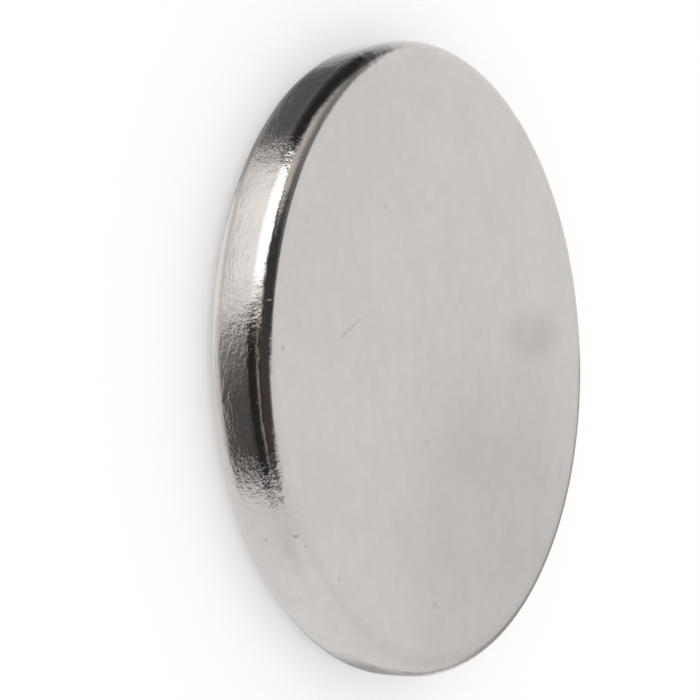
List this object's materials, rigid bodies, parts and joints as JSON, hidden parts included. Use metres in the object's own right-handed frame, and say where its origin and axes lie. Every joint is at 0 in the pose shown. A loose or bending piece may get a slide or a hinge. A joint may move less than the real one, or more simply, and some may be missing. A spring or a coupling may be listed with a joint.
{
  "type": "disc magnet",
  "caption": "Thin round disc magnet, bright nickel plated, with tumbled rounded rims; holds light things to steel by either flat pole face.",
  "frame": {"origin": "centre of the lower pole face, on which the disc lies", "axes": "+Z along the disc's axis, from the lower pole face to the upper one; X and Y lie in the face, and the disc is the same all round"},
  "size_m": [0.02, 0.02, 0.002],
  "materials": {
    "nickel_plate": "bright nickel plate: satin on the flat faces, glossier and finely dimpled on the tumbled rim"
  },
  "bodies": {
    "root": {"magnet_disc": "nickel_plate"}
  },
  "joints": []
}
